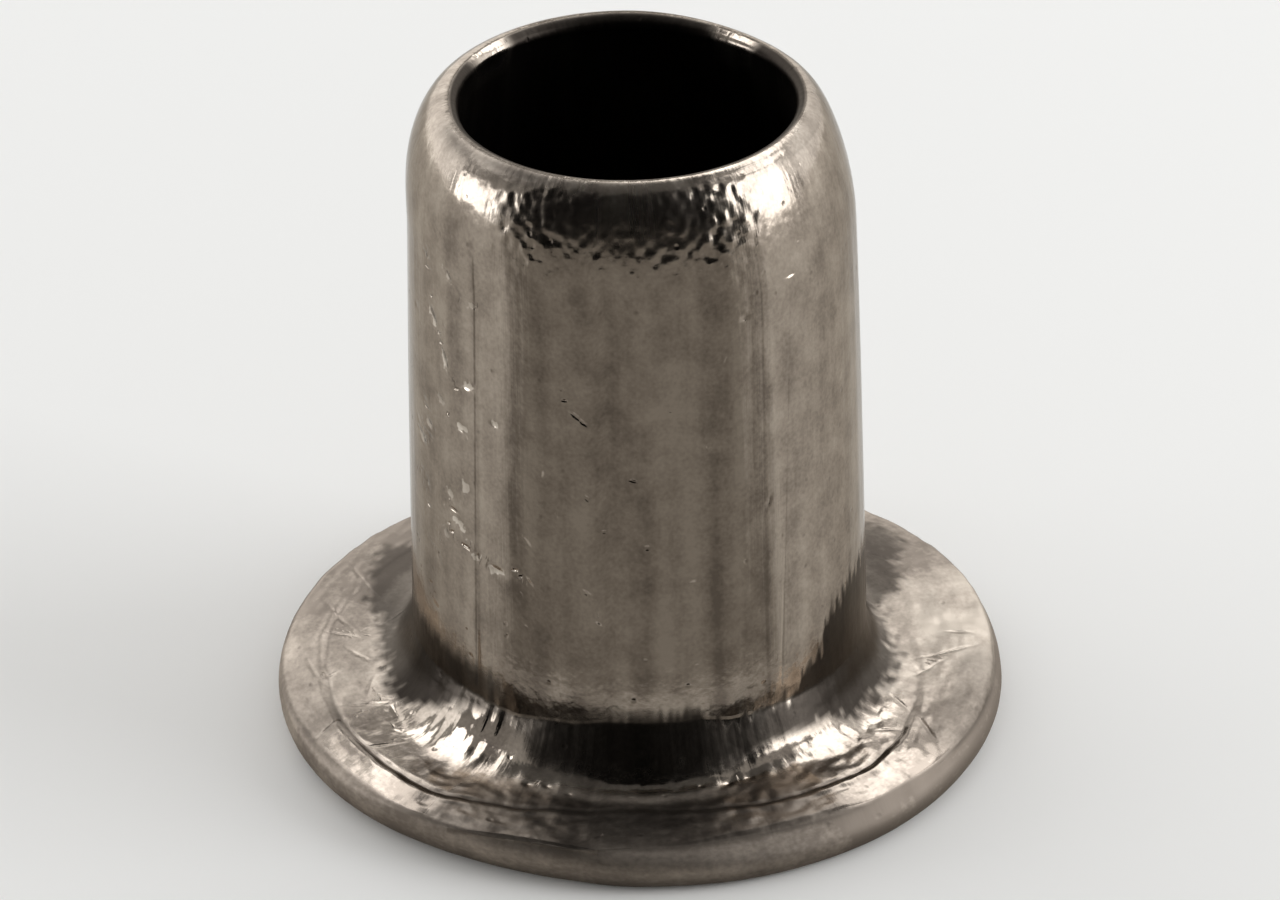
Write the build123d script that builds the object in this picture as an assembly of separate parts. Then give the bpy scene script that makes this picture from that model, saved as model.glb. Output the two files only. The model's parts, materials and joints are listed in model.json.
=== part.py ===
from build123d import *
from math import cos, radians, sin, tan
import os

# One-piece hollow rivet, drawn from thin strip and plated. Lengths are millimetres.
# The origin is the centre of the head's flat underside, which the rivet stands on,
# and +Z runs along the shank to the open nose.

# Head
head_overhang = 1.5  # how far the head stands out past the shank, for a head 8 mm across
head_thickness = 0.6
rim_lower_round = 0.3
rim_taper = 25  # degrees that the rim's side leans in towards the bearing face
rim_upper_round = 0.08

# Shank
shank_diameter = 5.0
shank_length = 7.0  # from the head's bearing face to the tip
shank_wall = 0.4
root_round = 0.65  # outside, where the shank turns out into the head
straight_length = 2.35  # full diameter, above the root round
shank_draft = 0.09  # how far the wall draws in from there to the nose

# Nose
nose_length = 1.4
nose_turn_in = 0.49  # how far the nose rolls in to the crest of its lip
lip_round = 0.12

# Radii and heights that follow
shank_radius = shank_diameter / 2
head_radius = shank_radius + head_overhang
bore_radius = shank_radius - shank_wall
nose_radius = shank_radius - shank_draft
nose_bore_radius = nose_radius - shank_wall
crest_radius = nose_radius - nose_turn_in
mouth_radius = crest_radius - lip_round

tip_height = head_thickness + shank_length
straight_top = head_thickness + root_round + straight_length
nose_base = tip_height - nose_length

# The strip keeps its wall round the bend, so the bore opens into the head with a larger round
flare_round = root_round + shank_wall


def corner(center_radius, center_height, round_radius, start_angle):
    """A quarter circle of the section, turning anticlockwise from its start angle."""
    return CenterArc((center_radius, center_height), round_radius, start_angle, 90)


def section():
    """Half of the rivet's section: radius across, height up, one closed outline."""
    lean, turn = radians(rim_taper), 90 - rim_taper
    # Where the tapered side leaves the lower round, and the edge it would meet the face in if that weren't rounded
    side = (head_radius - rim_lower_round * (1 - cos(lean)), rim_lower_round * (1 + sin(lean)))
    edge = side[0] - (head_thickness - side[1]) * tan(lean)
    reach = rim_upper_round * tan(radians(turn) / 2)
    with BuildSketch(Plane.XZ) as half:
        with BuildLine():
            # Underside and rim of the head
            Line((bore_radius + flare_round, 0), (head_radius - rim_lower_round, 0))
            CenterArc((head_radius - rim_lower_round, rim_lower_round), rim_lower_round, -90, 90 + rim_taper)
            Line(side, (edge + reach * sin(lean), head_thickness - reach * cos(lean)))
            CenterArc((edge - reach, head_thickness - rim_upper_round), rim_upper_round, rim_taper, turn)
            # Bearing face, root and outer wall
            Line((edge - reach, head_thickness), (shank_radius + root_round, head_thickness))
            corner(shank_radius + root_round, head_thickness + root_round, root_round, 180)
            Line((shank_radius, head_thickness + root_round), (shank_radius, straight_top))
            Line((shank_radius, straight_top), (nose_radius, nose_base))
            # Nose rolled in to its lip, outside and inside
            EllipticalCenterArc((crest_radius, nose_base), nose_turn_in, nose_length, arc_size=90)
            corner(crest_radius, tip_height - lip_round, lip_round, 90)
            TangentArc(
                (nose_bore_radius, nose_base),
                (mouth_radius, tip_height - lip_round),
                tangent=(-shank_draft, nose_base - straight_top),
            )
            # Bore, flared into the head
            Line((nose_bore_radius, nose_base), (bore_radius, straight_top))
            Line((bore_radius, straight_top), (bore_radius, flare_round))
            corner(bore_radius + flare_round, flare_round, flare_round, 180)
        make_face()
    return half.sketch


rivet = revolve(section(), axis=Axis.Z)
rivet.label = "rivet"

os.makedirs("parts", exist_ok=True)
export_step(rivet, "parts/rivet.step")
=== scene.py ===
import json
import math

import bpy
import numpy as np
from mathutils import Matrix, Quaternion, Vector


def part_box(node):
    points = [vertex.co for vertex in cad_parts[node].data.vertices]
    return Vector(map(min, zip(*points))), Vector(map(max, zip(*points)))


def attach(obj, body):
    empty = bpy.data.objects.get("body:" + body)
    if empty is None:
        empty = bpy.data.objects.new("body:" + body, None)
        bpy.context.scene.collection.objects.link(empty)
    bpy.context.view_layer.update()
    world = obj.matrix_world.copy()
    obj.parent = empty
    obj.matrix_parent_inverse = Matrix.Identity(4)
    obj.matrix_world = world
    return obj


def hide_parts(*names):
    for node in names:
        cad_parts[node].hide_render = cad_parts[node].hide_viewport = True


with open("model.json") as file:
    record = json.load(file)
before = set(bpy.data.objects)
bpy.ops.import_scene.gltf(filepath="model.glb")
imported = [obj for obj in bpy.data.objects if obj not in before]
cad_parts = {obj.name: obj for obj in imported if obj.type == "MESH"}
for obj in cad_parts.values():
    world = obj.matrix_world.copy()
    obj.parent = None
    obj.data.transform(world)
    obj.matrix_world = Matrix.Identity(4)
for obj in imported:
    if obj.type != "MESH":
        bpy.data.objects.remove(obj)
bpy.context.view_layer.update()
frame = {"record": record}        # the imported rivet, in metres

mm = 0.001

# What the frame says of the rivet: its box, and the walls and faces that its mounts measure
mounts = {mount["name"]: mount for mount in frame["record"]["mounts"]}
lowCorner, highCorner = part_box("rivet")


def wallOf(name):
    # radius of a round mount and the heights of its wall's two ends, in mm
    half = mounts[name]["dims"]["length_mm"] / 2
    middle = mounts[name]["pos_m"][2] / mm
    return mounts[name]["dims"]["r_mm"], middle - half, middle + half


shankRadius, rootTop, straightTop = wallOf("shank")
boreRadius, flareTop, boreTop = wallOf("bore")
faceHeight = mounts["bearing_face"]["pos_m"][2] / mm
headRadius, tipHeight = highCorner.x / mm, highCorner.z / mm
print("frame read: head", round(headRadius * 2, 2), "mm across, rivet", round(tipHeight, 2), "mm tall")


# Shapes are worked out in mm, in whole arrays: rows go round the section, columns round the axis.
# Angles are in degrees from the front, where the camera stands, towards +X.

def smoothStep(low, high, value):
    # 0 below low and 1 above high, with 3 t^2 - 2 t^3 between
    t = np.clip((value - low) / (high - low), 0.0, 1.0)
    return t * t * (3 - 2 * t)


def bell(value, centre, width):
    # e to the minus square of the distance from the centre, counted in widths
    return np.exp(-((value - centre) / width) ** 2)


def turnFrom(angle, centre):
    # signed difference of two angles, wrapped to -180..180
    return (angle - centre + 180) % 360 - 180


def roundAxis(angle, places):
    # values given at a few angles, joined all the way round by steps of half a cosine
    at = np.array(sorted(places))
    at = np.concatenate([at, [at[0] + 360]])
    value = np.array([places[a] for a in sorted(places)])
    value = np.concatenate([value, value[:1]])
    a = (angle - at[0]) % 360 + at[0]
    low = np.clip(np.searchsorted(at, a, side="right") - 1, 0, len(places) - 1)
    t = (a - at[low]) / (at[low + 1] - at[low])
    return value[low] + (value[low + 1] - value[low]) * (1 - np.cos(np.pi * t)) / 2


def lineStrip(startRadius, startHeight, endRadius, endHeight, rows):
    # straight run: start plus t times the way to the end; its last row belongs to the next strip
    t = np.linspace(0, 1, rows, endpoint=False)[:, None]
    return startRadius + (endRadius - startRadius) * t, startHeight + (endHeight - startHeight) * t


def arcStrip(centreRadius, centreHeight, acrossRadius, upRadius, startAngle, endAngle, rows, fullness=2.0):
    # ellipse: centre plus (across cos a, up sin a) as a goes from start to end; a fullness over 2 squares it up
    t = np.linspace(0, 1, rows, endpoint=False)[:, None]
    a = np.radians(startAngle + (endAngle - startAngle) * t)
    c, s = np.cos(a), np.sin(a)
    across = np.sign(c) * np.abs(c) ** (2 / fullness)
    up = np.sign(s) * np.abs(s) ** (2 / fullness)
    return centreRadius + acrossRadius * across, centreHeight + upRadius * up


def bentStrip(startRadius, startHeight, endRadius, endHeight, bends, rows):
    # a way up from face to wall whose slope turns evenly within each stretch: the sums of -sin and cos of the slope.
    # Stretches are (slope at start, slope at end, length); the two without a length share out what is left to go.
    def advance(slopeIn, slopeOut, part):
        # how far one mm of a stretch has gone after a part of it
        turn = np.where(np.abs(slopeOut - slopeIn) < 1e-4, 1e-4, slopeOut - slopeIn)
        now = slopeIn + turn * part
        return (np.cos(now) - np.cos(slopeIn)) / turn, (np.sin(now) - np.sin(slopeIn)) / turn

    toGo = [endRadius - startRadius, endHeight - startHeight]
    ways = [advance(slopeIn, slopeOut, 1.0) for slopeIn, slopeOut, length in bends]
    for (slopeIn, slopeOut, length), way in zip(bends, ways):
        if length is not None:
            toGo = [toGo[0] - length * way[0], toGo[1] - length * way[1]]
    first, second = [way for bend, way in zip(bends, ways) if bend[2] is None]
    share = first[0] * second[1] - first[1] * second[0]
    free = [(toGo[0] * second[1] - toGo[1] * second[0]) / share, (toGo[1] * first[0] - toGo[0] * first[1]) / share]
    radius, height, pieces = startRadius, startHeight, []
    for (slopeIn, slopeOut, length), way, count in zip(bends, ways, rows):
        length = free.pop(0) if length is None else length
        part = np.linspace(0, 1, count, endpoint=False)[:, None]
        gone = advance(slopeIn, slopeOut, part)
        pieces.append((radius + length * gone[0], height + length * gone[1]))
        radius, height = radius + length * way[0], height + length * way[1]
    return np.concatenate([piece[0] for piece in pieces]), np.concatenate([piece[1] for piece in pieces])


# Girth and length in mm of the skin unrolled flat, on which the random fields are laid
sheet = {"girth": 15.7, "length": 21.0, "cells": 1024}


def roughField(seed, acrossWave, alongWave, around, along):
    # seeded white noise on the unrolled skin, kept near one wavelength (mm) each way and scaled to a spread of 1,
    # read between its cells at around (turns) and along (mm round the section)
    cells = sheet["cells"]
    noise = np.fft.rfft2(np.random.default_rng(seed).standard_normal((cells, cells)))
    turns = np.abs(np.fft.rfftfreq(cells, 1 / cells))[None, :] * acrossWave / sheet["girth"]
    steps = np.abs(np.fft.fftfreq(cells, 1 / cells))[:, None] * alongWave / sheet["length"]
    size = np.hypot(turns, steps)
    field = np.fft.irfft2(noise * size * np.exp(-size ** 2), s=(cells, cells))
    field /= field.std()
    x, y = (around % 1) * cells, (along / sheet["length"] % 1) * cells
    x0, y0 = np.floor(x).astype(int), np.floor(y).astype(int)
    fx, fy = x - x0, y - y0
    x0, y0, x1, y1 = x0 % cells, y0 % cells, (x0 + 1) % cells, (y0 + 1) % cells
    top = field[y0, x0] * (1 - fx) + field[y0, x1] * fx
    low = field[y1, x0] * (1 - fx) + field[y1, x1] * fx
    return top * (1 - fy) + low * fy


def closedSkin(name, points):
    # a grid of points, rows round the section and columns round the axis, closed both ways into one skin
    rows, columns = points.shape[:2]
    index = np.arange(rows * columns).reshape(rows, columns)
    above, beside = np.roll(index, -1, axis=0), np.roll(index, -1, axis=1)
    corners = np.stack([index, beside, np.roll(above, -1, axis=1), above], axis=-1).reshape(-1, 4)
    mesh = bpy.data.meshes.new(name)
    mesh.vertices.add(rows * columns)
    mesh.vertices.foreach_set("co", points.reshape(-1).astype(np.float32))
    mesh.loops.add(corners.size)
    mesh.loops.foreach_set("vertex_index", corners.reshape(-1).astype(np.int32))
    mesh.polygons.add(len(corners))
    mesh.polygons.foreach_set("loop_start", (np.arange(len(corners)) * 4).astype(np.int32))
    mesh.polygons.foreach_set("use_smooth", np.ones(len(corners), bool))
    mesh.update(calc_edges=True)
    made = bpy.data.objects.new(name, mesh)
    bpy.context.collection.objects.link(made)
    return made


# The rivet's skin: real sizes in mm, and tables of value by angle where the real one is uneven
skin = {
    "columns": 440, "frontDensity": 0.5,      # columns stand closer at the front by this share
    "rows": {"underside": 4, "rimLower": 9, "rimSide": 7, "rimUpper": 7, "face": 24,
             "root": [4, 9, 8, 9, 5], "wall": 66, "nose": 47, "lip": 10, "noseBore": 4, "draftBore": 3,
             "bore": 3, "flare": 5},
    # head: how far out the rim stands, its lower round, the lean of its side (degrees) and its upper corner
    "rimOut": {-180: 0.0, -130: 0.01, -90: 0.0, -60: 0.01, -22: -0.04, 0: -0.01, 22: 0.0, 60: 0.0, 90: 0.0, 118: 0.06,
               150: 0.02},
    "rimLowerRound": {-180: 0.30, -70: 0.32, -30: 0.36, -14: 0.33, 0: 0.26, 20: 0.22, 40: 0.22, 70: 0.28},
    "rimSlope": {-180: 25, -115: 22, -70: 7, -42: 9, -15: 44, 0: 52, 20: 48, 45: 32, 60: 28, 120: 25},
    "rimCorner": {-180: 0.06, -75: 0.12, -50: 0.12, -30: 0.08, -10: 0.035, 10: 0.035, 30: 0.06, 48: 0.10, 110: 0.06},
    # shoulder: how far the face tips down (degrees) by the time it reaches the rim, and where that starts
    "shoulderTip": {-180: 6, -110: 8, -80: 24, -52: 36, -36: 24, -20: 18, 0: 22, 20: 16, 32: 13, 46: 26, 56: 20,
                    70: 10, 100: 6},
    "shoulderFrom": {-180: 3.40, -75: 3.50, -45: 3.58, -20: 3.42, 0: 3.32, 20: 3.40, 60: 3.45},
    # ring pressed into the head, where the root's foot ends, and how deep the press went
    "ringRadius": {-180: 3.10, -130: 3.35, -90: 3.46, -60: 3.55, -40: 3.58, -25: 3.43, -15: 3.30, 0: 3.20,
                   15: 3.30, 30: 3.38, 45: 3.42, 55: 3.36, 64: 3.25, 76: 3.14, 91: 2.97, 105: 2.90, 140: 2.90},
    "ringPress": {-180: 0.3, -110: 0.2, -88: 0.3, -70: 0.8, -45: 1.0, -22: 0.6, 0: 0.4, 22: 0.6, 45: 0.9, 60: 0.5,
                  74: 0.25, 86: 0.08, 130: 0.05},
    # root: height where the wall starts to turn out, slopes (degrees from upright) of the cone under it and of the
    # foot at its inner and outer end, and the rounds between
    "rootTop": {-180: 1.15, -120: 1.15, -75: 1.20, -43: 1.18, -34: 1.15, -19: 1.22, -6: 1.29, 14: 1.27,
                24: 1.20, 41: 1.19, 70: 1.15, 100: 1.08},
    "coneSlope": {-180: 14, -90: 18, -60: 22, -50: 26, -43: 27, -35: 27, -28: 31, -20: 30, 0: 28, 20: 28, 45: 25,
                  70: 14, 120: 12},
    "footSlope": {-180: 84, -90: 86, -43: 86, -15: 86, 15: 86, 41: 86, 70: 84},
    "footEdgeSlope": {-180: 88, -90: 88, -43: 88, -15: 88, 15: 88, 41: 88, 70: 86},
    "filletRound": {-180: 0.3, -110: 0.4, -75: 0.55, -60: 0.60, -45: 0.82, -32: 0.82, -20: 0.6, 0: 0.22, 20: 0.36,
                    45: 0.50, 70: 0.38, 91: 0.3},
    "kinkRound": 0.14, "footRound": 0.15,
    # shank: its radius by height, and how far its axis leans
    "wallAt": [1.25, 2.6, 4.1, 5.5, 6.2], "wallIn": [0.0, 0.019, 0.045, 0.075, 0.092],
    "lean": 0.010, "leanFrom": 1.0, "noseShift": 0.045,
    # nose: how far it drops below the tip, radius of its crest, round of its lip, and how square its curve is
    "noseLength": 1.4,
    "noseDrop": {-180: 0.06, -90: 0.02, 0: 0.0, 90: 0.04, 140: 0.09},
    "crestIn": {-180: 0.47, -120: 0.53, -90: 0.53, -60: 0.50, 0: 0.49, 60: 0.49, 90: 0.47, 120: 0.47},
    "lipRound": {-180: 0.14, -120: 0.11, -70: 0.10, 0: 0.07, 40: 0.10, 110: 0.11},
    "noseFullness": {-180: 1.95, -80: 2.05, 0: 2.0, 80: 1.82, 120: 1.8},
}


def sectionStrips(angle):
    # the section as strips of radius and height, anticlockwise from the underside's inner edge
    rows = skin["rows"]
    even = np.ones_like(angle)
    rim = headRadius + roundAxis(angle, skin["rimOut"])
    lower = roundAxis(angle, skin["rimLowerRound"])
    slope = np.radians(roundAxis(angle, skin["rimSlope"]))
    sideStart = rim - lower + lower * np.cos(slope), lower + lower * np.sin(slope)
    # the edge that side and face would meet in, and the round that joins them
    fall = np.radians(roundAxis(angle, skin["shoulderTip"]))
    shoulderFrom = roundAxis(angle, skin["shoulderFrom"])
    span = sideStart[0] - (faceHeight - sideStart[1]) * np.tan(slope) - shoulderFrom
    edgeHeight = faceHeight - np.tan(fall) * span / 2
    edgeRadius = sideStart[0] - (edgeHeight - sideStart[1]) * np.tan(slope)
    corner = roundAxis(angle, skin["rimCorner"])
    reach = corner * np.tan((np.pi / 2 - fall - slope) / 2)
    sideEnd = edgeRadius + reach * np.sin(slope), edgeHeight - reach * np.cos(slope)
    faceRadius, faceEdge = edgeRadius - reach * np.cos(fall), edgeHeight + reach * np.sin(fall)
    footEnd = roundAxis(angle, skin["ringRadius"]) - 0.04
    faceAt = faceRadius + (footEnd - faceRadius) * np.linspace(0, 1, rows["face"], endpoint=False)[:, None]
    drop = np.clip((faceAt - shoulderFrom) / (faceRadius - shoulderFrom), 0, 1) ** 2 * (faceHeight - faceEdge)
    wallFoot = roundAxis(angle, skin["rootTop"])
    level = 0 * angle + np.pi / 2
    cone = np.radians(roundAxis(angle, skin["coneSlope"]))
    foot = np.radians(roundAxis(angle, skin["footSlope"]))
    edge = np.radians(roundAxis(angle, skin["footEdgeSlope"]))
    fillet = roundAxis(angle, skin["filletRound"])
    wallTop = tipHeight - skin["noseLength"]
    noseRadius = shankRadius - skin["wallIn"][-1]
    crest = noseRadius - roundAxis(angle, skin["crestIn"])
    tip = tipHeight - roundAxis(angle, skin["noseDrop"])
    lip = roundAxis(angle, skin["lipRound"])
    full = roundAxis(angle, skin["noseFullness"])
    thick = shankRadius - boreRadius
    wallHeight = wallFoot + (wallTop - wallFoot) * np.linspace(0, 1, rows["wall"], endpoint=False)[:, None]
    wallRadius = shankRadius - np.interp(wallHeight, skin["wallAt"], skin["wallIn"])
    bends = [(level, edge, skin["footRound"] * (level - edge)), (edge, foot, None),
             (foot, cone, fillet * (foot - cone)), (cone, cone, None), (cone, 0 * cone, skin["kinkRound"] * cone)]
    strips = {
        "underside": lineStrip(boreRadius + flareTop, 0, rim - lower, 0, rows["underside"]),
        "rimLower": arcStrip(rim - lower, lower, lower, lower, -90, np.degrees(slope), rows["rimLower"]),
        "rimSide": lineStrip(*sideStart, *sideEnd, rows["rimSide"]),
        "rimUpper": arcStrip(sideEnd[0] - corner * np.cos(slope), sideEnd[1] - corner * np.sin(slope), corner, corner,
                             np.degrees(slope), 90 - np.degrees(fall), rows["rimUpper"]),
        "face": (faceAt, faceHeight - drop),
        "root": bentStrip(footEnd, faceHeight + 0 * angle, shankRadius, wallFoot, bends, rows["root"]),
        "wall": (wallRadius, wallHeight),
        "nose": arcStrip(crest, wallTop, noseRadius - crest, tip - wallTop, 0, 90, rows["nose"], full),
        "lip": arcStrip(crest, tip - lip, lip, lip, 90, 180, rows["lip"]),
        "noseBore": lineStrip(crest - lip, tip - lip, noseRadius - thick, wallTop, rows["noseBore"]),
        "draftBore": lineStrip(noseRadius - thick, wallTop, boreRadius, boreTop, rows["draftBore"]),
        "bore": lineStrip(boreRadius, boreTop, boreRadius, flareTop, rows["bore"]),
        "flare": arcStrip(boreRadius + flareTop, flareTop, flareTop, flareTop, 180, 270, rows["flare"]),
    }
    return {name: (radius * even, height * even) for name, (radius, height) in strips.items()}


# Marks of making and handling
marks = {
    # lines scored up the shank: angle at mid height, turn for each mm of height, half width, depth
    "drawLines": [(-43.6, 0.3, 0.032, 0.0100), (41.5, 1.2, 0.018, 0.0018), (-20.0, 0.1, 0.016, 0.0012),
                  (34.0, 0.2, 0.026, 0.0013), (52.0, 0.2, 0.026, 0.0014),
                  (118.0, 0.4, 0.030, 0.0050), (-150.0, -0.5, 0.025, 0.0040), (170.0, 0.2, 0.025, 0.0030)],
    # nicks on the shank and the nose: angle, height, half length, half width, tilt from the level, depth
    "nicks": [(-64.6, 6.24, 0.05, 0.03, -20, 0.012), (-53.6, 6.19, 0.07, 0.03, -50, 0.014),
              (-61.7, 5.55, 0.09, 0.04, -45, 0.018), (-43.9, 6.00, 0.06, 0.03, 10, 0.012),
              (-56.0, 5.14, 0.10, 0.032, -60, 0.018), (-46.6, 4.98, 0.08, 0.035, 5, 0.018),
              (-48.6, 4.42, 0.08, 0.045, -10, 0.020), (-37.5, 4.67, 0.03, 0.05, 90, 0.014),
              (-64.6, 4.17, 0.05, 0.04, 0, 0.014), (-68.2, 3.89, 0.05, 0.04, 0, 0.014),
              (-66.7, 3.38, 0.06, 0.05, -60, 0.016), (-47.9, 3.72, 0.07, 0.05, 90, 0.014),
              (-54.5, 3.52, 0.07, 0.040, -40, 0.014), (-50.5, 3.20, 0.10, 0.050, -30, 0.018),
              (-56.5, 2.98, 0.06, 0.035, -60, 0.012), (-44.2, 2.90, 0.06, 0.045, 20, 0.016),
              (-37.6, 2.86, 0.10, 0.035, -8, 0.015), (-28.0, 2.84, 0.10, 0.028, -50, 0.010),
              (-28.5, 3.34, 0.07, 0.026, -45, 0.009), (-12.8, 2.84, 0.07, 0.028, -35, 0.010),
              (-9.8, 2.45, 0.05, 0.028, -45, 0.009), (-15.0, 5.02, 0.08, 0.028, -40, 0.014),
              (-12.6, 4.93, 0.06, 0.025, -30, 0.012), (-12.3, 4.02, 0.06, 0.028, -50, 0.012),
              (-11.5, 4.55, 0.05, 0.025, -60, 0.008), (-0.5, 4.26, 0.07, 0.022, -20, 0.010),
              (-24.0, 4.24, 0.05, 0.028, 80, 0.012), (-18.2, 5.32, 0.05, 0.028, -60, 0.010),
              (-0.6, 5.88, 0.08, 0.026, 80, 0.010), (-8.0, 3.62, 0.05, 0.025, 10, 0.008),
              (-20.5, 3.75, 0.04, 0.025, -50, 0.008), (2.6, 3.43, 0.04, 0.035, 0, 0.012),
              (14.0, 2.94, 0.06, 0.045, 0, 0.011), (35.1, 3.73, 0.05, 0.028, 70, 0.014),
              (44.1, 6.35, 0.08, 0.03, 0, 0.012), (29.4, 6.04, 0.05, 0.035, 0, 0.010),
              (9.0, 5.10, 0.06, 0.022, -50, 0.007), (18.5, 4.60, 0.07, 0.022, -40, 0.007),
              (24.0, 5.60, 0.05, 0.025, 60, 0.007), (-58.0, 4.60, 0.06, 0.035, -30, 0.012),
              (-60.0, 2.60, 0.14, 0.030, -65, 0.009), (96.0, 4.80, 0.10, 0.030, -30, 0.009),
              (121.0, 3.60, 0.07, 0.032, 20, 0.009), (143.0, 5.40, 0.12, 0.030, 65, 0.008),
              (-112.0, 4.20, 0.08, 0.030, -20, 0.009), (-135.0, 2.90, 0.06, 0.030, 40, 0.009),
              (-170.0, 5.20, 0.11, 0.028, -50, 0.008), (168.0, 3.10, 0.07, 0.032, 10, 0.009)],
    # scratches on the head: angle, radius, half length, half width, tilt from the ring's direction, depth
    "scratches": [(-70.0, 3.25, 0.26, 0.032, 70, 0.009), (-76.0, 3.05, 0.18, 0.030, -25, 0.008),
                  (-63.0, 2.98, 0.22, 0.035, -8, 0.010), (-88.0, 3.10, 0.22, 0.030, 40, 0.009),
                  (-96.0, 3.30, 0.20, 0.026, 75, 0.010), (-57.0, 3.10, 0.10, 0.035, 30, 0.011),
                  (-82.0, 3.45, 0.12, 0.026, -60, 0.010), (68.0, 3.05, 0.16, 0.030, 60, 0.010),
                  (82.0, 3.20, 0.20, 0.028, -40, 0.010), (95.0, 3.55, 0.12, 0.030, 80, 0.012),
                  (58.0, 3.20, 0.12, 0.026, -50, 0.010), (125.0, 3.30, 0.20, 0.030, 20, 0.012),
                  (-140.0, 3.20, 0.22, 0.030, -50, 0.012), (165.0, 3.40, 0.18, 0.030, 70, 0.012),
                  (-114.5, 3.36, 0.43, 0.026, 50, 0.009), (-102.0, 3.42, 0.36, 0.028, 40, 0.007),
                  (-101.0, 2.90, 0.28, 0.034, 131, 0.010), (-84.0, 3.62, 0.20, 0.026, 12, 0.010),
                  (-66.0, 3.72, 0.18, 0.024, -70, 0.010), (-56.0, 3.40, 0.16, 0.024, 65, 0.010),
                  (62.0, 3.55, 0.22, 0.024, 50, 0.010), (88.0, 3.38, 0.26, 0.026, -65, 0.010),
                  (13.0, 2.90, 0.035, 0.030, 0, 0.009), (19.0, 2.92, 0.05, 0.030, 20, 0.011),
                  (24.0, 2.90, 0.05, 0.030, -10, 0.008), (-24.0, 3.02, 0.045, 0.030, 10, 0.011),
                  (-20.0, 2.98, 0.04, 0.030, -20, 0.009), (-15.0, 3.04, 0.04, 0.025, 0, 0.009),
                  (-2.0, 3.00, 0.03, 0.022, 0, 0.007), (5.0, 2.98, 0.03, 0.022, 0, 0.007)],
    "leftNickGrowth": 1.5,
    # small nicks scattered down the left: how many, and the limits of angle, height, half sizes, tilt and depth
    "scattered": {"count": 12, "low": (-72, 1.9, 0.030, 0.020, -75, 0.004), "high": (-60, 6.5, 0.060, 0.028, 25, 0.007)},
    "ringGroove": 0.022, "ringGrooveWidth": 0.035,
    "ringBead": 0.022, "ringBeadOut": 0.10, "ringBeadWidth": 0.050,
    # fold pressed along the lip, right of the front
    "fold": {"angle": 40, "span": 17, "radius": 2.02, "width": 0.022, "depth": 0.015},
}


def scatteredNicks():
    # nicks with every value drawn evenly between its limits, from a fixed seed
    group = marks["scattered"]
    low, high = np.array(group["low"]), np.array(group["high"])
    draws = np.random.default_rng(72).random((group["count"], 6))
    return [tuple(row) for row in (low + (high - low) * draws).tolist()]


def nickPlaces(angle, radius, height):
    # for every point: its place across and along the nearest nick, in half sizes of that nick, and the nick's depth;
    # the depth is 0 away from nicks, and halfway between two that are near each other
    best = np.full((4,) + angle.shape, 9.0)
    best[2] = 0.0
    best[3] = 99.0
    second = np.full(angle.shape, 99.0)
    for middle, level, halfLength, halfWidth, tilt, depth in marks["nicks"] + scatteredNicks() + marks["scratches"]:
        onHead = (middle, level, halfLength, halfWidth, tilt, depth) in marks["scratches"]
        grow = marks["leftNickGrowth"] if middle < -30 and not onHead else 1.0
        aside = np.radians(turnFrom(angle, middle)) * (level if onHead else shankRadius) / grow
        up = (level - radius if onHead else height - level) / grow
        depth = depth * (1 + grow) / 2
        c, s = math.cos(math.radians(tilt)), math.sin(math.radians(tilt))
        u, v = (aside * c + up * s) / halfLength, (up * c - aside * s) / halfWidth
        q = u * u + v * v + 99 * ((height > 0.9) == onHead)
        nearer = q < best[3]
        second = np.where(nearer, best[3], np.minimum(second, q))
        best = np.where(nearer, np.stack([u, v, depth + 0 * u, q]), best)
    depth = best[2] * (best[3] < 7) * (second - best[3] > 1.5)
    return np.stack([np.clip(best[0], -9, 9), np.clip(best[1], -9, 9), depth], axis=-1)


def linePlaces(angle, height):
    # for every point: its distance from the nearest scored line in half widths, and that line's depth there
    place = np.full(angle.shape, 9.0)
    deep = np.zeros(angle.shape)
    for middle, twist, halfWidth, depth in marks["drawLines"]:
        aside = np.radians(turnFrom(angle, middle + twist * (height - 4.5))) * shankRadius / halfWidth
        nearer = np.abs(aside) < np.abs(place)
        place, deep = np.where(nearer, aside, place), np.where(nearer, depth, deep)
    deep = deep * (np.abs(place) < 3.5) * smoothStep(1.1, 1.5, height) * smoothStep(6.9, 6.3, height)
    return np.stack([place, deep, 0 * deep], axis=-1)


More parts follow.
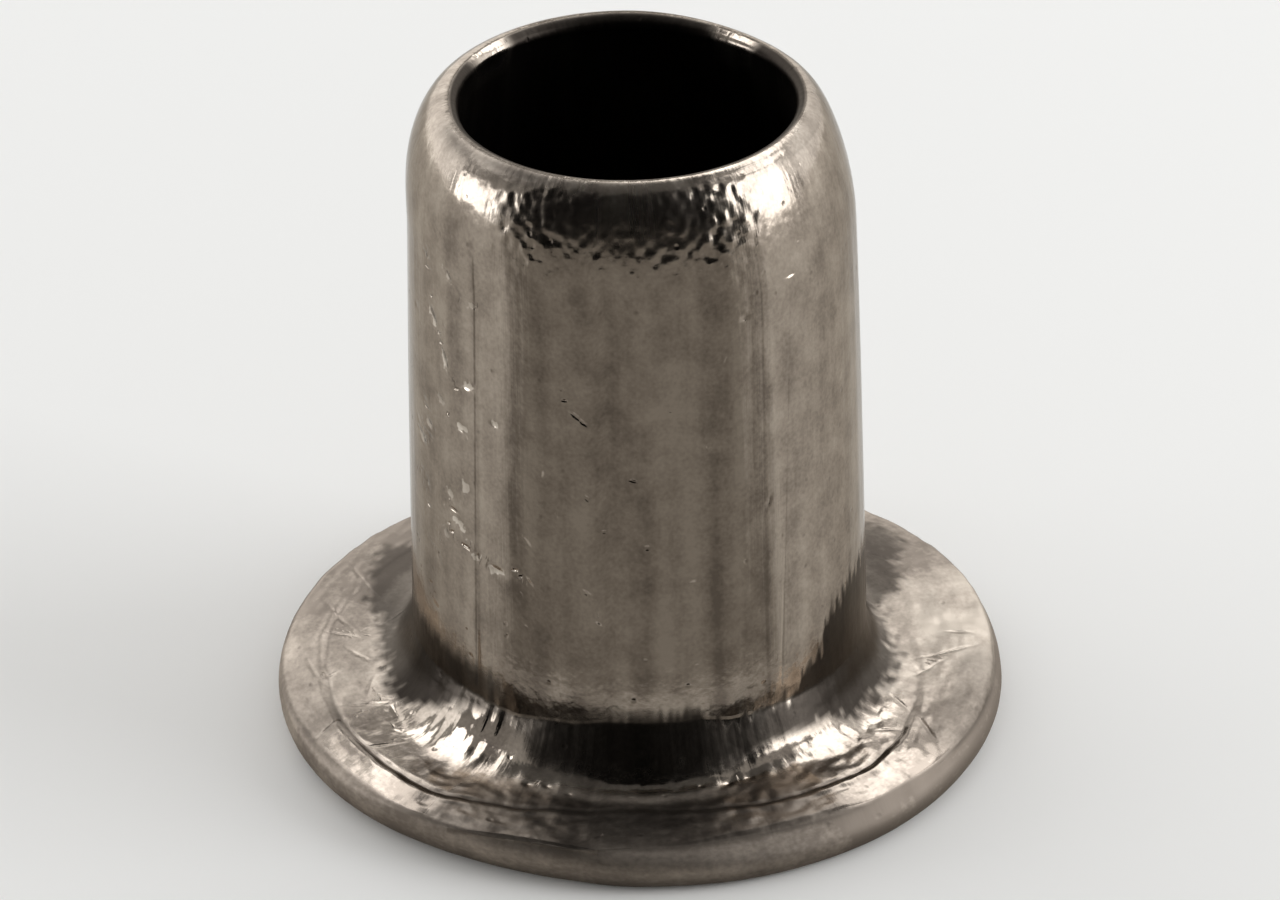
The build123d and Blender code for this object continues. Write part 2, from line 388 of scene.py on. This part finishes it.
def skinRelief(angle, radius, height, along):
    # how far the surface stands out (mm) from the plain section: draw marks, flutes at the root, mottling on the head,
    # the crinkled nose, the ring on the head and a fold by the lip, added up
    around = angle / 360
    onHead = smoothStep(faceHeight + 0.16, faceHeight + 0.04, height) * smoothStep(0.45, 0.58, height)
    onRoot = smoothStep(1.5, 1.2, height) * smoothStep(faceHeight + 0.02, faceHeight + 0.16, height)
    onWall = smoothStep(1.1, 1.6, height) * smoothStep(7.2, 6.3, height)
    onNose = smoothStep(6.1, 6.9, height) * smoothStep(7.58, 7.45, height)
    relief = onWall * (0.0030 * roughField(11, 1.3, 9.0, around, along)
                       + 0.0014 * roughField(12, 0.40, 5.0, around, along)
                       + 0.0004 * roughField(13, 0.12, 2.5, around, along))
    front = 0.7 * bell(turnFrom(angle, 0), 0, 30) + bell(np.abs(turnFrom(angle, 0)), 25, 11)
    relief += onNose * (0.0024 * roughField(21, 0.18, 0.13, around, along) * (0.10 + front)
                        - 0.0026 * np.abs(roughField(22, 0.20, 0.10, around, along)) * (0.05 + front))
    flutes = bell(turnFrom(angle, -50), 0, 12) + 0.15 * bell(turnFrom(angle, 50), 0, 20)
    relief += onRoot * (0.0050 * flutes + 0.0005) * roughField(36, 0.20, 3.0, around, along)
    relief += onRoot * (0.0006 + 0.0016 * flutes) * roughField(34, 0.14, 0.14, around, along)
    relief += onRoot * 0.0004 * roughField(33, 0.07, 1.5, around, along)
    relief += onHead * (0.0026 * roughField(41, 0.19, 0.17, around, along)
                        + 0.0035 * roughField(42, 0.50, 0.60, around, along))
    beyondRing = radius - roundAxis(angle, skin["ringRadius"])
    press = smoothStep(0.4, 0.5, height) * smoothStep(faceHeight + 0.08, faceHeight + 0.03, height)
    press = press * roundAxis(angle, skin["ringPress"])
    relief -= press * marks["ringGroove"] * bell(beyondRing, 0, marks["ringGrooveWidth"])
    relief += press * marks["ringBead"] * bell(beyondRing, marks["ringBeadOut"], marks["ringBeadWidth"])
    fold = marks["fold"]
    relief -= (fold["depth"] * bell(radius, fold["radius"], fold["width"]) * smoothStep(7.3, 7.45, height)
               * bell(turnFrom(angle, fold["angle"]), 0, fold["span"]))
    return relief


# Tone streaks up the shank: angle, half width in degrees, lighter (+) or darker (-)
streaks = [(-44.0, 0.8, -0.5), (-47.5, 1.8, 0.35), (-38.5, 2.4, 0.4), (-21.0, 2.2, 0.25), (-27.0, 2.0, -0.2),
           (-10.5, 2.2, -0.25), (-3.5, 2.5, 0.1), (7.0, 1.8, 0.2), (14.5, 2.2, 0.3), (20.0, 1.6, -0.25),
           (26.0, 2.0, 0.15), (38.0, 2.5, 0.35), (34.0, 1.0, -0.25), (45.0, 2.5, 0.2), (51.5, 1.5, -0.25),
           (55.0, 1.5, 0.2), (62.0, 1.6, -0.2)]


# Where the plating is satin, and where shade and reflections are painted into its tone, by angle
paintedShadeAndSatin = {
    # painted shade in the corner between shank and head: how high it goes, where it ends below and how far out, and
    # how dark it is
    "top": {-180: 1.3, -130: 1.4, -90: 1.55, -75: 1.62, -52: 1.55, -38: 1.50, -35: 1.12, -20: 1.24, -6: 1.33,
            14: 1.31, 24: 1.16, 42: 1.19, 48: 1.5, 60: 2.0, 75: 2.2, 100: 1.9, 140: 1.4},
    "bottom": {-180: 0.5, -66: 0.5, -58: 0.8, -50: 0.95, -38: 1.05, -30: 0.95, -22: 0.68, 20: 0.70, 30: 0.84,
               48: 0.80, 58: 0.62, 66: 0.5},
    "edge": {-180: 2.9, -140: 3.3, -125: 3.6, -112: 3.3, -100: 2.90, -80: 2.85, -70: 2.92, -60: 2.80, 60: 2.82,
             80: 2.85, 105: 2.75, 118: 3.3, 130: 3.75, 150: 3.4},
    "amount": {-180: 0.5, -125: 0.6, -100: 0.8, -80: 0.9, -70: 1.0, -55: 0.95, -45: 0.85, -34: 0.5, -25: 0.7, 0: 0.85,
               40: 0.9, 52: 0.95, 70: 0.92, 90: 0.85, 100: 0.7, 128: 0.65},
    # the head: tone of its face, painted lighter or darker by angle to stand in for its reflections, and of the rim's
    # side; painted shade on the front of the face and darker beyond the ring at the sides; and how satin the face is
    "face": {-180: 0.4, -125: 0.15, -110: 0.2, -90: 0.4, -60: 0.35, -30: 0.3, 0: 0.3, 30: 0.2, 50: 0.3, 70: 0.3,
             85: 0.6, 100: 0.85, 112: 0.6, 120: 0.2, 130: 0.4},
    "faceDirt": {-180: 0.0, -50: 0.0, -25: 0.45, 0: 0.5, 20: 0.4, 32: 0.3, 44: 0.0},
    "outerDirt": {-180: 0.0, -95: 0.0, -80: 0.15, -68: 0.35, -58: 0.15, -52: 0.0, 54: 0.0, 64: 0.35, 84: 0.35,
                  94: 0.0},
    "faceSatin": {-180: 0.45, -70: 0.35, -62: 0.10, -38: 0.10, -28: 0.3, 0: 0.25, 28: 0.3, 36: 0.08, 54: 0.08,
                  64: 0.3, 100: 0.45},
    "footSatin": {-180: 0.5, -110: 0.5, -78: 0.3, -62: 0.0, 62: 0.0, 78: 0.35, 100: 0.6},
    "rim": {-180: 0.4, -90: 0.4, -40: 0.3, 0: 0.45, 20: 0.4, 40: 0.1, 90: 0.2},
    # the lip: painted shade along the left of the front, and on its inner side all round but for two bright spots
    "lip": {-180: 0.0, -80: 0.1, -62: 0.6, -30: 0.8, -18: 0.2, 0: 0.0, 100: 0.2},
    "lipInside": {-180: 1.0, -140: 1.0, -131: 0.0, -121: 0.0, -112: 1.0, 128: 1.0, 135: 0.0, 144: 0.0, 152: 1.0},
}


def finishField(angle, radius, height, along):
    # tone (0.5 is plain; on the face painted lighter or darker for its reflections), satin (1 is matt) and painted
    # shade with some darkening over the skin, each 0..1
    around = angle / 360
    onWall = smoothStep(1.0, 1.5, height) * smoothStep(7.2, 6.4, height)
    outside = smoothStep(0.0, 0.3, height)
    rimSide = smoothStep(0.53, 0.49, height) * smoothStep(3.6, 3.7, radius)
    face = smoothStep(3.0, 3.2, radius) * smoothStep(0.45, 0.52, height)
    tone = 0.5 + 0.05 * roughField(51, 0.5, 0.5, around, along)
    tone += onWall * 0.07 * roughField(52, 0.35, 6.0, around, along)
    # painted reflection: the face's tone, lighter or darker by angle, stands in for what it reflects; the rim's side
    # takes its own tone by angle
    tone += face * (roundAxis(angle, paintedShadeAndSatin["face"]) - 0.5) + rimSide * (roundAxis(angle, paintedShadeAndSatin["rim"]) - 0.5)
    strength = 0.35 * onWall * (1 + smoothStep(3.6, 2.8, height) * (angle > 0))
    for middle, halfWidth, shift in streaks:
        tone += shift * strength * bell(turnFrom(angle, middle), 0, halfWidth)
    front = bell(turnFrom(angle, 0), 0, 30)
    foot = bell(radius, 3.03, 0.10) * smoothStep(faceHeight + 0.12, faceHeight + 0.06, height)
    band = smoothStep(6.9, 7.1, height) * (radius > boreRadius - 0.15)
    sideFoot = bell(radius, 2.95, 0.18) * smoothStep(faceHeight + 0.15, faceHeight + 0.08, height)
    bright = bell(turnFrom(angle, 0), -45, 16) * smoothStep(1.3, 1.1, height) * smoothStep(3.1, 3.0, radius)
    satin = rimSide + roundAxis(angle, paintedShadeAndSatin["faceSatin"]) * face + (0.8 * foot + 0.25 * band) * front
    satin = satin + 0.14 * (1 - bright) + roundAxis(angle, paintedShadeAndSatin["footSatin"]) * sideFoot
    # painted shade in the ring's groove
    grooveShade = bell(radius, roundAxis(angle, skin["ringRadius"]), 0.04) * face * roundAxis(angle, skin["ringPress"])
    # painted shade inside the bore
    boreShade = smoothStep(7.5, 7.3, height) * (radius < boreRadius + 0.001)
    # painted shade in the corner, ragged along its edges
    right = smoothStep(0, 30, turnFrom(angle, 0))
    top = roundAxis(angle, paintedShadeAndSatin["top"]) + (0.02 + 0.05 * right) * roughField(61, 0.10, 0.5, around, along)
    bottom = roundAxis(angle, paintedShadeAndSatin["bottom"])
    edge = roundAxis(angle, paintedShadeAndSatin["edge"]) + 0.05 * roughField(62, 0.16, 0.16, around, along)
    fade = 0.13 - 0.07 * right
    corner = roundAxis(angle, paintedShadeAndSatin["amount"]) * smoothStep(top + fade, top - fade, height)
    corner = corner * smoothStep(bottom - 0.05, bottom + 0.05, height) * smoothStep(edge + 0.11, edge - 0.11, radius)
    # painted shade on the lip: past its crest towards the bore, and along the left of the front
    crest = shankRadius - skin["wallIn"][-1] - roundAxis(angle, skin["crestIn"])
    onLip = smoothStep(7.2, 7.3, height)
    # painted shade in the mouth, and along the left of the front lip over a lamp's reflection
    lipInside = roundAxis(angle, paintedShadeAndSatin["lipInside"]) * smoothStep(crest + 0.01, crest - 0.03, radius) * onLip
    lipFrontShade = roundAxis(angle, paintedShadeAndSatin["lip"]) * bell(radius, crest + 0.10, 0.10) * onLip
    # painted shade on the front of the face, standing in for its dark reflection, and darker beyond the ring at the
    # sides
    faceDarkening = roundAxis(angle, paintedShadeAndSatin["faceDirt"]) * face * smoothStep(3.15, 3.3, radius)
    faceDarkening = faceDarkening + roundAxis(angle, paintedShadeAndSatin["outerDirt"]) * face * smoothStep(3.45, 3.6, radius)
    # painted shade along the foot of the rim at the front, where it faces down onto the floor's shadow
    rimFootShade = smoothStep(0.30, 0.10, height) * smoothStep(3.6, 3.7, radius) * bell(turnFrom(angle, 0), 0, 60)
    # all the painted shade together, with the darker ring beyond it at the sides
    paintedShadeAndDarkening = (0.4 * grooveShade + 0.9 * boreShade + corner + 0.95 * lipInside + lipFrontShade + faceDarkening) * outside + 0.5 * rimFootShade
    return [np.clip(channel + 0 * angle, 0, 1) for channel in (tone, satin, paintedShadeAndDarkening)]


def buildSkin():
    # the section's radius and height, pushed out along the normal by the relief and carried round the axis:
    # x = r sin a, y = -r cos a, while the shank leans by a small share of its height
    t = np.linspace(-math.pi, math.pi, skin["columns"], endpoint=False)[None, :]
    turn = t - skin["frontDensity"] * np.sin(t)
    angle = np.degrees(turn)
    strips = sectionStrips(angle)
    radius = np.concatenate([strip[0] for strip in strips.values()])
    height = np.concatenate([strip[1] for strip in strips.values()])
    angle = angle + 0 * radius
    outR = np.roll(radius, -1, axis=0) - np.roll(radius, 1, axis=0)
    outZ = np.roll(height, -1, axis=0) - np.roll(height, 1, axis=0)
    size = np.hypot(outR, outZ)
    normalR, normalZ = outZ / size, -outR / size
    steps = np.hypot(np.diff(radius, axis=0, prepend=radius[:1]), np.diff(height, axis=0, prepend=height[:1]))
    along = np.cumsum(steps, axis=0)
    shown = ("rimUpper", "face", "root", "wall", "nose", "lip")
    worked = np.concatenate([np.full(len(strip[0]), float(name in shown)) for name, strip in strips.items()])
    relief = skinRelief(angle, radius, height, along) * worked[:, None]
    finish = finishField(angle, radius, height, along)
    nicks = nickPlaces(angle, radius, height) * worked[:, None, None]
    lines = linePlaces(angle, height) * worked[:, None, None]
    across = shankRadius * np.stack([np.sin(turn), -np.cos(turn)], axis=-1) + 0 * along[:, :, None]
    place = np.concatenate([across, along[:, :, None]], axis=-1)
    radius = radius + normalR * relief
    height = height + normalZ * relief
    leanBy = skin["lean"] * np.maximum(height - skin["leanFrom"], 0)
    leanBy = leanBy + skin["noseShift"] * smoothStep(6.0, 7.2, height)
    points = np.stack([radius * np.sin(turn) - leanBy, -radius * np.cos(turn), height], axis=-1) * mm
    made = closedSkin("rivetSkin", points)
    for name, vectors in (("skinPlace", place), ("nickPlace", nicks), ("linePlace", lines)):
        layer = made.data.attributes.new(name, "FLOAT_VECTOR", "POINT")
        layer.data.foreach_set("vector", vectors.reshape(-1).astype(np.float32))
    layer = made.data.attributes.new("finish", "FLOAT_COLOR", "POINT")
    colours = np.stack(finish + [np.ones_like(radius)], axis=-1)
    layer.data.foreach_set("color", colours.reshape(-1).astype(np.float32))
    return made


rivetSkin = buildSkin()
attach(rivetSkin, "root")
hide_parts("rivet")
print("skin built:", len(rivetSkin.data.polygons) * 2, "triangles")


# Materials

def hexColour(text):
    # sRGB hex to linear light
    parts = [int(text[i:i + 2], 16) / 255 for i in (1, 3, 5)]
    return [p / 12.92 if p <= 0.04045 else ((p + 0.055) / 1.055) ** 2.4 for p in parts] + [1.0]


def addNode(tree, kind, values=None, links=None, **settings):
    # one node, with its settings, its sockets' values, and what feeds its sockets
    node = tree.nodes.new(kind)
    for name, value in settings.items():
        setattr(node, name, value)
    for name, value in (values or {}).items():
        node.inputs[name].default_value = value
    for name, source in (links or {}).items():
        tree.links.new(source, node.inputs[name])
    return node


# Nickel plate. Wavelengths are in mm on the real rivet; a noise scale is one over its wavelength.
nickel = {
    # tones of the plate; the grime tone is the near-black of the painted shade
    "darkTone": "#7a7066", "plainTone": "#958a7e", "lightTone": "#a99e91", "grimeTone": "#1e1a17",
    "edgeTint": "#d9d5d0",
    "streakWave": 0.25, "streakStretch": 0.04,
    "cloudWave": 0.45,
    "scuffWave": 0.14, "scuffHeight": 0.0034,
    "fineStreakWave": 0.055, "fineStreakHeight": 0.0018,
    "broadStreakWave": 0.15, "broadStreakHeight": 0.0030,
    "grainWave": 0.045, "grainHeight": 0.0010,
    "pitSpacing": 0.30, "pitSize": 0.14, "pitDepth": 0.005,
    "roughness": 0.08, "satinRoughness": 0.50,
    "nickTone": "#cfc5b8", "freshFrom": 0.012, "freshAll": 0.020, "chipWave": 0.09,
}


def nickelPlate():
    # Nickel plate on drawn steel, tumbled and handled: a warm grey mirror dulled by fine lines along the draw,
    # small pits, and a satin rim where the strip was cut
    material = bpy.data.materials.new("nickelPlatedSteel")
    material.use_nodes = True
    tree = material.node_tree
    shader = tree.nodes["Principled BSDF"]
    place = addNode(tree, "ShaderNodeAttribute", attribute_name="skinPlace").outputs["Vector"]
    finish = addNode(tree, "ShaderNodeAttribute", attribute_name="finish").outputs["Color"]
    channels = addNode(tree, "ShaderNodeSeparateColor", links={"Color": finish}).outputs
    drawn = addNode(tree, "ShaderNodeMapping", {"Scale": (1, 1, nickel["streakStretch"])},
                    {"Vector": place}).outputs["Vector"]

    def combine(kind, first, second):
        # two numbers or sockets through one Math node
        pair = {0: first, 1: second}
        fixed = {k: v for k, v in pair.items() if isinstance(v, (int, float))}
        fed = {k: v for k, v in pair.items() if k not in fixed}
        return addNode(tree, "ShaderNodeMath", fixed, fed, operation=kind).outputs[0]

    def noiseOf(vector, wave, detail, roughness=0.5):
        return addNode(tree, "ShaderNodeTexNoise", {"Scale": 1 / wave, "Detail": detail, "Roughness": roughness},
                       {"Vector": vector}).outputs["Fac"]

    streak = noiseOf(drawn, nickel["streakWave"], 3, 0.6)
    cloud = noiseOf(place, nickel["cloudWave"], 4, 0.72)
    fineStreak = noiseOf(drawn, nickel["fineStreakWave"], 2)
    grain = noiseOf(place, nickel["grainWave"], 2)
    chips = noiseOf(place, nickel["chipWave"], 2)
    pitDistance = addNode(tree, "ShaderNodeTexVoronoi", {"Scale": 1 / nickel["pitSpacing"]},
                          {"Vector": place}).outputs["Distance"]
    pit = addNode(tree, "ShaderNodeMapRange", {"From Min": nickel["pitSize"], "From Max": 0.0},
                  {"Value": pitDistance}, interpolation_type="SMOOTHSTEP").outputs["Result"]

    # nicks and scored lines: e to the minus square of the distance from the nearest one
    nick, line = (addNode(tree, "ShaderNodeSeparateXYZ", links={
        "Vector": addNode(tree, "ShaderNodeAttribute", attribute_name=name).outputs["Vector"]}).outputs
        for name in ("nickPlace", "linePlace"))
    nickFar = combine("ADD", combine("MULTIPLY", nick["X"], nick["X"]), combine("MULTIPLY", nick["Y"], nick["Y"]))
    nickFall, lineFall = (combine("POWER", math.e, combine("MULTIPLY", far, -1.0))
                          for far in (nickFar, combine("MULTIPLY", line["X"], line["X"])))

    # tone: the painted streaks and the face's tone painted for its reflections, with noise in streaks and clouds round
    # them
    tone = combine("ADD", channels["Red"], combine("MULTIPLY", combine("SUBTRACT", streak, 0.5), 0.5))
    tone = combine("ADD", tone, combine("MULTIPLY", combine("SUBTRACT", cloud, 0.5), 0.9))
    tone = combine("ADD", tone, combine("MULTIPLY", combine("SUBTRACT", grain, 0.5), 0.5))
    tone = combine("SUBTRACT", tone, combine("MULTIPLY", pit, 0.25))
    ramp = addNode(tree, "ShaderNodeValToRGB", links={"Fac": tone})
    stops = ramp.color_ramp.elements
    stops[0].position, stops[0].color = 0.2, hexColour(nickel["darkTone"])
    stops[1].position, stops[1].color = 0.8, hexColour(nickel["lightTone"])
    stops.new(0.5).color = hexColour(nickel["plainTone"])
    # painted shade: the base colour goes towards near-black in the corner, the bore, the lip, the ring's groove, the
    # rim's foot and on the face
    paintedShadeMix = addNode(tree, "ShaderNodeMix", {7: hexColour(nickel["grimeTone"])},
                    {0: channels["Blue"], 6: ramp.outputs["Color"]}, data_type="RGBA")
    # deep nicks show fresh metal
    fresh = addNode(tree, "ShaderNodeMapRange", {"From Min": nickel["freshFrom"], "From Max": nickel["freshAll"]},
                    {"Value": nick["Z"]}).outputs["Result"]
    ragged = combine("ADD", nickFall, combine("MULTIPLY", combine("SUBTRACT", chips, 0.5), 2.2))
    scrape = addNode(tree, "ShaderNodeMapRange", {"From Min": 0.50, "From Max": 0.72}, {"Value": ragged},
                     interpolation_type="SMOOTHSTEP").outputs["Result"]
    scraped = addNode(tree, "ShaderNodeMix", {7: hexColour(nickel["nickTone"])},
                      {0: combine("MULTIPLY", fresh, scrape), 6: paintedShadeMix.outputs[2]}, data_type="RGBA")
    tree.links.new(scraped.outputs[2], shader.inputs["Base Color"])

    # roughness: plain, satin at the rim, a little more in the streaks and where shade is painted
    rough = combine("ADD", combine("MULTIPLY", channels["Green"], nickel["satinRoughness"]), nickel["roughness"])
    rough = combine("ADD", rough, combine("MULTIPLY", combine("SUBTRACT", streak, 0.5), 0.16))
    rough = combine("ADD", rough, combine("MULTIPLY", channels["Blue"], 0.25))
    tree.links.new(rough, shader.inputs["Roughness"])

    # relief in mm: draw lines, scuffs, grain and pits, less the nicks and the scored lines
    relief = combine("MULTIPLY", pit, -nickel["pitDepth"])
    for field, height in ((fineStreak, "fineStreakHeight"), (noiseOf(drawn, nickel["broadStreakWave"], 1),
                          "broadStreakHeight"), (noiseOf(place, nickel["scuffWave"], 1), "scuffHeight"),
                          (grain, "grainHeight")):
        relief = combine("ADD", relief, combine("MULTIPLY", field, nickel[height]))
    for fall, depth in ((nickFall, nick["Z"]), (lineFall, line["Y"])):
        relief = combine("SUBTRACT", relief, combine("MULTIPLY", fall, depth))
    bumped = addNode(tree, "ShaderNodeBump", {"Strength": 1.0, "Distance": mm}, {"Height": relief})
    tree.links.new(bumped.outputs["Normal"], shader.inputs["Normal"])
    shader.inputs["Metallic"].default_value = 1.0
    shader.inputs["Specular Tint"].default_value = hexColour(nickel["edgeTint"])
    return material


rivetSkin.data.materials.append(nickelPlate())
print("materials made")


# Floor, lights and camera. Azimuths are degrees from the front towards +X.
studio = {
    "floorTone": "#f1efeb", "floorSize": 1.2,
    "fill": 0.52,
    # softboxes: where they stand, and half their width and height, in degrees as seen from the rivet
    "boxDistance": 0.12, "boxTint": "#f6faff",
    "boxes": {
        "leftBox": {"azimuth": -85, "elevation": 9.5, "halfAcross": 13, "halfUp": 10.5, "radiance": 4.9},
        "rightBox": {"azimuth": 82, "elevation": 20, "halfAcross": 16, "halfUp": 21, "radiance": 4.6},
        "backLeftGlow": {"azimuth": -138, "elevation": 18, "halfAcross": 36, "halfUp": 19, "radiance": 1.9},
        "backRightGlow": {"azimuth": 138, "elevation": 18, "halfAcross": 36, "halfUp": 19, "radiance": 1.5},
        "highLeft": {"azimuth": -128, "elevation": 52, "halfAcross": 24, "halfUp": 8, "radiance": 4.8},
        "highRight": {"azimuth": 137, "elevation": 50, "halfAcross": 28, "halfUp": 9, "radiance": 4.6},
    },
    # cards round the rivet: from azimuth, to azimuth, and the way they go, as distance in m and elevation
    "cards": {
        # painted shade: a darker mat on the floor in front, seen only in reflections, standing in for shade on the
        # floor there
        "greyMat": {"tone": "#aeaaa4", "halfWidth": 72, "fadeFrom": 50, "ways": [(0.005, 0), (0.090, 0)]},
        "blackFlag": {"tone": "#141414", "halfWidth": 61, "fadeFrom": 0, "ways": [(0.095, 0), (0.095, 64)]},
        "topCard": {"tone": "#606060", "halfWidth": 180, "fadeFrom": 0, "ways": [(0.094, 63), (0.094, 90)]},
    },
}


def flatSheet(name, corners, material):
    mesh = bpy.data.meshes.new(name)
    mesh.from_pydata(corners, [], [tuple(range(len(corners)))])
    made = bpy.data.objects.new(name, mesh)
    made.data.materials.append(material)
    bpy.context.collection.objects.link(made)
    return made


def mattCard(name, tone):
    # matt card or paper
    material = bpy.data.materials.new(name)
    material.use_nodes = True
    shader = material.node_tree.nodes["Principled BSDF"]
    shader.inputs["Base Color"].default_value = hexColour(tone)
    shader.inputs["Roughness"].default_value = 0.9
    shader.inputs["Specular IOR Level"].default_value = 0.0
    return material


half = studio["floorSize"] / 2
flatSheet("floor", [(-half, -half, 0), (half, -half, 0), (half, half, 0), (-half, half, 0)],
          mattCard("palePaper", studio["floorTone"]))


def softBox(name, azimuth, elevation, halfAcross, halfUp, radiance):
    # a rectangle of light facing the rivet; its power gives the wanted radiance over its area
    lamp = bpy.data.lights.new(name, "AREA")
    lamp.shape = "RECTANGLE"
    lamp.size = 2 * studio["boxDistance"] * math.tan(math.radians(halfAcross))
    lamp.size_y = 2 * studio["boxDistance"] * math.tan(math.radians(halfUp))
    lamp.energy = radiance * math.pi * lamp.size * lamp.size_y
    lamp.color = hexColour(studio["boxTint"])[:3]
    made = bpy.data.objects.new(name, lamp)
    a, e = math.radians(azimuth), math.radians(elevation)
    back = Vector((math.sin(a) * math.cos(e), -math.cos(a) * math.cos(e), math.sin(e)))
    made.location = back * studio["boxDistance"]
    made.rotation_euler = back.to_track_quat("Z", "Y").to_euler()
    made.visible_camera = False
    bpy.context.collection.objects.link(made)
    return made


for name, values in studio["boxes"].items():
    box = softBox(name, **values)
    # the high boxes only glint in the metal, so that the floor keeps its own colour
    box.visible_diffuse = not name.startswith("high")


def roundCard(name, tone, halfWidth, fadeFrom, ways):
    # a card curved round the rivet, each point at a distance, azimuth and elevation from its foot: x = d sin a cos e,
    # y = -d cos a cos e, z = d sin e. Only mirror-like reflections see it, as a card held just outside the picture;
    # the mat lying on the floor in front is painted shade.
    across = np.radians(np.linspace(-halfWidth, halfWidth, 73))
    t = np.linspace(0, 1, 25)[:, None]
    distance = ways[0][0] + (ways[1][0] - ways[0][0]) * t
    up = np.radians(ways[0][1] + (ways[1][1] - ways[0][1]) * t)
    x = distance * np.sin(across) * np.cos(up)
    y = -distance * np.cos(across) * np.cos(up)
    z = distance * np.sin(up) + 0 * across + 0.05 * mm
    rows, columns = x.shape
    index = np.arange(rows * columns).reshape(rows, columns)
    faces = np.stack([index[:-1, :-1], index[:-1, 1:], index[1:, 1:], index[1:, :-1]], axis=-1).reshape(-1, 4)
    mesh = bpy.data.meshes.new(name)
    mesh.from_pydata(np.stack([x, y, z], axis=-1).reshape(-1, 3).tolist(), [], faces.tolist())
    made = bpy.data.objects.new(name, mesh)
    material = mattCard(name, tone)
    if fadeFrom:
        # towards its sides the card fades into the floor
        fade = smoothStep(fadeFrom, halfWidth - 1, np.abs(np.degrees(across))) + 0 * x
        layer = mesh.attributes.new("fade", "FLOAT", "POINT")
        layer.data.foreach_set("value", fade.reshape(-1).astype(np.float32))
        tree = material.node_tree
        amount = addNode(tree, "ShaderNodeAttribute", attribute_name="fade").outputs["Fac"]
        mixed = addNode(tree, "ShaderNodeMix", {6: hexColour(tone), 7: hexColour(studio["floorTone"])}, {0: amount},
                        data_type="RGBA")
        tree.links.new(mixed.outputs[2], tree.nodes["Principled BSDF"].inputs["Base Color"])
    made.data.materials.append(material)
    made.visible_camera = made.visible_diffuse = made.visible_shadow = made.visible_transmission = False
    bpy.context.collection.objects.link(made)
    return made


for name, values in studio["cards"].items():
    roundCard(name, **values)

world = bpy.data.worlds.new("paleRoom")
world.use_nodes = True
world.node_tree.nodes["Background"].inputs["Color"].default_value = hexColour("#ffffff")
world.node_tree.nodes["Background"].inputs["Strength"].default_value = studio["fill"]
bpy.context.scene.world = world

view = {"elevation": 31.0, "distance": 93.0, "aimHeight": 3.17, "aimAcross": 0.02, "roll": 0.5, "lens": 240.0}


def addCamera():
    lens = bpy.data.cameras.new("camera")
    lens.lens, lens.sensor_width = view["lens"], 36.0
    lens.clip_start, lens.clip_end = 0.005, 5.0
    made = bpy.data.objects.new("camera", lens)
    e = math.radians(view["elevation"])
    back = Vector((0, -math.cos(e), math.sin(e)))
    made.location = Vector((view["aimAcross"], 0, view["aimHeight"])) * mm + back * view["distance"] * mm
    tipped = Quaternion((0, 0, 1), -math.radians(view["roll"]))
    made.rotation_euler = (back.to_track_quat("Z", "Y") @ tipped).to_euler()
    bpy.context.collection.objects.link(made)
    bpy.context.scene.camera = made


addCamera()
bpy.context.scene.view_settings.view_transform = "Standard"
print("floor, lights and camera set")
